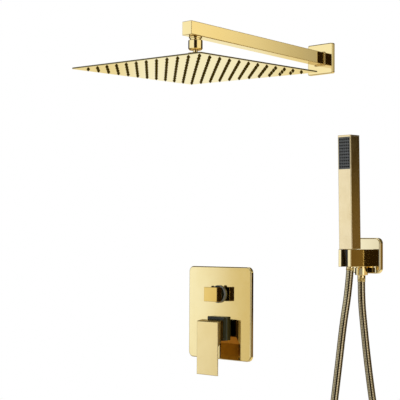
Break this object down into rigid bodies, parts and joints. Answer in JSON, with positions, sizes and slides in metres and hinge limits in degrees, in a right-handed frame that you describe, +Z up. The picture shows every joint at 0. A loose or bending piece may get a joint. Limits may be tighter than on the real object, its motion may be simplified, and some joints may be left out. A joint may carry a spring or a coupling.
{
  "type": "concealed rain shower set",
  "caption": "Concealed wall shower set in polished gold: square rain head on a wall arm, lever mixer plate with diverter knob, stick handset in a holder outlet with a hanging metal hose.",
  "frame": {"origin": "centre of the mixer cover plate, on the finished wall surface", "axes": "+Z up, +Y into the wall, +X to the right along the wall as seen from the room"},
  "size_m": [0.5307, 0.5752, 0.997],
  "materials": {
    "polished_gold": "mirror-polished gold plating on brass",
    "grey_chrome": "polished dark grey chrome",
    "cast_brass": "machined and cast brass",
    "copper_pipe": "drawn copper, slightly dull",
    "hose_metal": "gold-plated interlocked metal hose",
    "steel": "plain steel",
    "cartridge_plastic": "moulded acetal",
    "rubber_seal": "black rubber",
    "foam_gasket": "closed-cell foam rubber",
    "nozzle_silicone": "dark silicone",
    "panel_plastic": "dark grey satin plastic"
  },
  "bodies": {
    "wall_set": {"mixer_cover_plate": "polished_gold", "plate_gasket": "foam_gasket", "cartridge_sleeve": "grey_chrome", "valve_body": "cast_brass", "cartridge_body": "cartridge_plastic", "cartridge_nut": "cast_brass", "diverter_cartridge": "cast_brass", "diverter_collar": "grey_chrome", "arm_tube": "polished_gold", "arm_end_cap": "polished_gold", "arm_inlet_nipple": "cast_brass", "arm_outlet_nipple": "polished_gold", "arm_wall_flange": "polished_gold", "flange_gasket": "foam_gasket", "arm_wall_elbow": "cast_brass", "riser_pipe": "copper_pipe", "handset_pipe": "copper_pipe", "pipe_nuts": "cast_brass", "ball_joint_nut": "polished_gold", "ball_seal": "rubber_seal", "outlet_wall_elbow": "cast_brass", "bracket_plate": "polished_gold", "bracket_gasket": "foam_gasket", "bracket_body": "polished_gold", "bracket_inlet_nipple": "cast_brass", "outlet_nipple": "polished_gold", "outlet_washer": "rubber_seal", "hose_outlet_nut": "polished_gold", "hose_tube": "hose_metal"},
    "mix_rotor": {"cartridge_carrier": "cartridge_plastic", "carrier_pin": "steel"},
    "lever": {"lever_spindle": "steel", "lever_handle": "polished_gold", "lever_set_screw": "steel"},
    "diverter": {"diverter_spindle": "cast_brass", "diverter_knob": "polished_gold", "diverter_set_screw": "steel"},
    "ball_ring": {"slip_ring": "cartridge_plastic"},
    "ball": {"swivel_ball": "polished_gold"},
    "rain_head": {"head_union_nut": "polished_gold", "head_inlet_boss": "polished_gold", "stem_o_ring": "rubber_seal", "head_top_plate": "polished_gold", "head_face_plate": "polished_gold", "nozzle_mat": "nozzle_silicone"},
    "hose_end": {"hose_cone_nut": "polished_gold", "handset_washer": "rubber_seal"},
    "handset": {"handset_inlet": "cast_brass", "flow_restrictor": "cartridge_plastic", "handset_body": "polished_gold", "handset_end_cap": "polished_gold", "handset_spray_plate": "panel_plastic", "handset_nozzle_mat": "nozzle_silicone"}
  },
  "joints": [
    {"name": "lever_turn", "type": "hinge", "parent": "wall_set", "child": "mix_rotor", "pos_m": [0, -0.006, -0.032], "axis": [0, -1, 0], "range_deg": [-45, 45]},
    {"name": "lever_lift", "type": "hinge", "parent": "mix_rotor", "child": "lever", "pos_m": [0, -0.006, -0.032], "axis": [-1, 0, 0], "range_deg": [0, 18]},
    {"name": "diverter_turn", "type": "hinge", "parent": "wall_set", "child": "diverter", "pos_m": [0, -0.028, 0.0395], "axis": [0, -1, 0], "range_deg": [0, 90]},
    {"name": "ball_turn", "type": "hinge", "parent": "wall_set", "child": "ball_ring", "pos_m": [0.261, -0.366, 0.4845], "axis": [0, 0, 1], "continuous": true},
    {"name": "ball_tilt", "type": "hinge", "parent": "ball_ring", "child": "ball", "pos_m": [0.261, -0.366, 0.4845], "axis": [0.6765, 0.7364, 0], "range_deg": [-11, 8]},
    {"name": "head_turn", "type": "hinge", "parent": "ball", "child": "rain_head", "pos_m": [0.26052, -0.36556, 0.46201], "axis": [0.0215, -0.0197, 0.9996], "range_deg": [-180, 180]},
    {"name": "handset_lift", "type": "slide", "parent": "wall_set", "child": "hose_end", "axis": [0, -0.0227, 0.9997], "range_m": [0, 0.045]},
    {"name": "handset_turn", "type": "hinge", "parent": "hose_end", "child": "handset", "pos_m": [0.3684, -0.059, 0.1365], "axis": [0, -0.0227, 0.9997], "range_deg": [-90, 90]}
  ]
}
